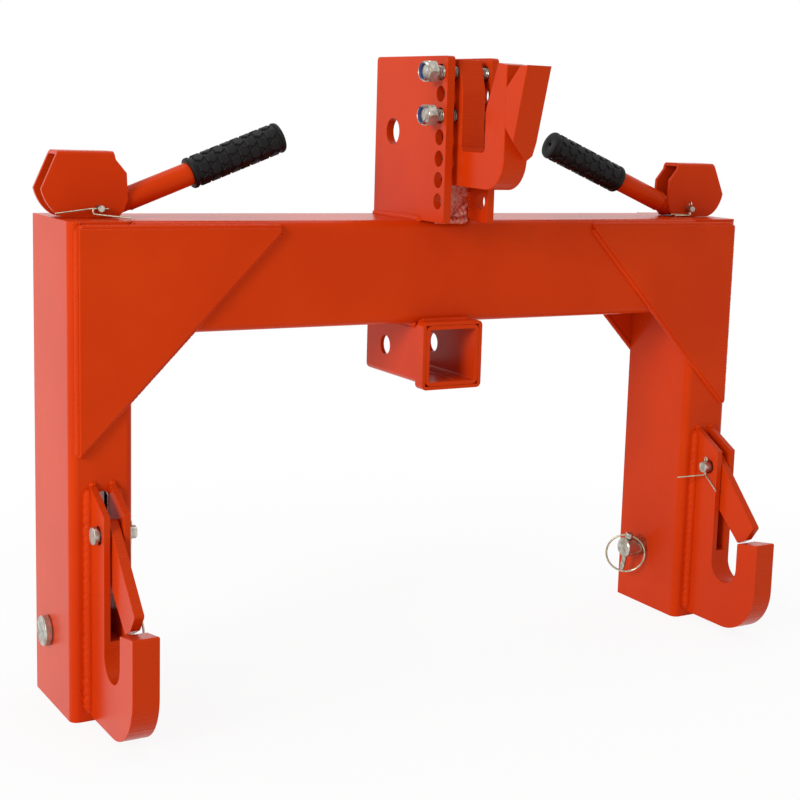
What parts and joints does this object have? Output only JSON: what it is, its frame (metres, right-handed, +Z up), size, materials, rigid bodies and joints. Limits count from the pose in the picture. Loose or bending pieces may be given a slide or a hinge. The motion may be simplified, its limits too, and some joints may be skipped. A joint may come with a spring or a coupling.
{
  "type": "three point quick hitch",
  "caption": "Upright frame with two latching lower hooks, an adjustable top hook, a square receiver tube and two cam lever releases for coupling implements to a tractor.",
  "frame": {"origin": "on the ground, half way between the legs, in the plane of their front faces", "axes": "+X along the crossbeam to the right leg, +Y back to the tractor, +Z up"},
  "size_m": [0.7626, 0.262, 0.601],
  "materials": {
    "orange_paint": "gloss powder coat",
    "zinc_plate": "zinc plated",
    "bare_steel": "mill finish",
    "black_rubber": "moulded",
    "blue_nylon": "plastic lock ring"
  },
  "bodies": {
    "frame": {"crossbeam": "orange_paint", "receiver_tube": "orange_paint", "receiver_collar": "orange_paint", "mast_web": "orange_paint", "top_hook_bolts": "zinc_plate", "top_hook_nuts": "zinc_plate", "nut_inserts": "blue_nylon", "left_leg": "orange_paint", "left_leg_top_plate": "orange_paint", "left_front_gusset": "orange_paint", "left_rear_gusset": "orange_paint", "left_mast_plate": "orange_paint", "left_lower_hook": "orange_paint", "left_latch_pin": "zinc_plate", "left_latch_split_pin": "zinc_plate", "right_leg": "orange_paint", "right_leg_top_plate": "orange_paint", "right_front_gusset": "orange_paint", "right_rear_gusset": "orange_paint", "right_mast_plate": "orange_paint", "right_lower_hook": "orange_paint", "right_latch_pin": "zinc_plate", "right_latch_split_pin": "zinc_plate"},
    "top_hook": {"top_hook": "orange_paint", "top_hook_guide": "orange_paint"},
    "left_latch": {"left_latch": "orange_paint"},
    "left_pull_rod": {"left_pull_rod": "bare_steel", "left_rod_foot_split_pin": "zinc_plate", "left_lever_pin": "zinc_plate", "left_lever_split_pin": "zinc_plate"},
    "left_cam_lever": {"left_cam_housing": "orange_paint", "left_handle_tube": "orange_paint", "left_grip": "black_rubber"},
    "left_link_pin": {"left_link_pin": "zinc_plate", "left_linch_pin": "zinc_plate"},
    "left_snap_ring": {"left_linch_ring": "zinc_plate"},
    "right_latch": {"right_latch": "orange_paint"},
    "right_pull_rod": {"right_pull_rod": "bare_steel", "right_rod_foot_split_pin": "zinc_plate", "right_lever_pin": "zinc_plate", "right_lever_split_pin": "zinc_plate"},
    "right_cam_lever": {"right_cam_housing": "orange_paint", "right_handle_tube": "orange_paint", "right_grip": "black_rubber"},
    "right_link_pin": {"right_link_pin": "zinc_plate", "right_linch_pin": "zinc_plate"},
    "right_snap_ring": {"right_linch_ring": "zinc_plate"}
  },
  "joints": [
    {"name": "top_hook_float", "type": "slide", "parent": "frame", "child": "top_hook", "axis": [1, 0, 0], "range_m": [-0.0071, 0.0071]},
    {"name": "left_rod_slide", "type": "slide", "parent": "frame", "child": "left_pull_rod", "axis": [0, 0, 1], "range_m": [0, 0.0438]},
    {"name": "left_lever_hinge", "type": "hinge", "parent": "left_pull_rod", "child": "left_cam_lever", "pos_m": [-0.3315, 0.0525, 0.4545], "axis": [0, -1, 0], "range_deg": [0, 92]},
    {"name": "left_latch_hinge", "type": "hinge", "parent": "frame", "child": "left_latch", "pos_m": [-0.3415, -0.025, 0.1775], "axis": [1, 0, 0], "range_deg": [0, 45.7]},
    {"name": "left_link_pin_spin", "type": "hinge", "parent": "frame", "child": "left_link_pin", "pos_m": [-0.3415, 0.066, 0.0676], "axis": [-1, 0, 0], "continuous": true},
    {"name": "left_snap_ring_hinge", "type": "hinge", "parent": "left_link_pin", "child": "left_snap_ring", "pos_m": [-0.293, 0.06953, 0.08177], "axis": [0.0872, -0.9666, 0.241], "range_deg": [0, 150]},
    {"name": "right_rod_slide", "type": "slide", "parent": "frame", "child": "right_pull_rod", "axis": [0, 0, 1], "range_m": [0, 0.0438]},
    {"name": "right_lever_hinge", "type": "hinge", "parent": "right_pull_rod", "child": "right_cam_lever", "pos_m": [0.3315, 0.0525, 0.4545], "axis": [0, 1, 0], "range_deg": [0, 92]},
    {"name": "right_latch_hinge", "type": "hinge", "parent": "frame", "child": "right_latch", "pos_m": [0.3415, -0.025, 0.1775], "axis": [1, 0, 0], "range_deg": [0, 45.7]},
    {"name": "right_link_pin_spin", "type": "hinge", "parent": "frame", "child": "right_link_pin", "pos_m": [0.3415, 0.066, 0.0676], "axis": [1, 0, 0], "continuous": true},
    {"name": "right_snap_ring_hinge", "type": "hinge", "parent": "right_link_pin", "child": "right_snap_ring", "pos_m": [0.293, 0.06247, 0.08177], "axis": [-0.788, 0.5974, 0.1489], "range_deg": [0, 150]}
  ],
  "couplings": [
    {"joint": "left_rod_slide", "follows": "left_lever_hinge", "m_per_rad": 0.02725},
    {"joint": "left_latch_hinge", "follows": "left_lever_hinge", "ratio": 0.49609},
    {"joint": "right_rod_slide", "follows": "right_lever_hinge", "m_per_rad": 0.02725},
    {"joint": "right_latch_hinge", "follows": "right_lever_hinge", "ratio": 0.49609}
  ]
}
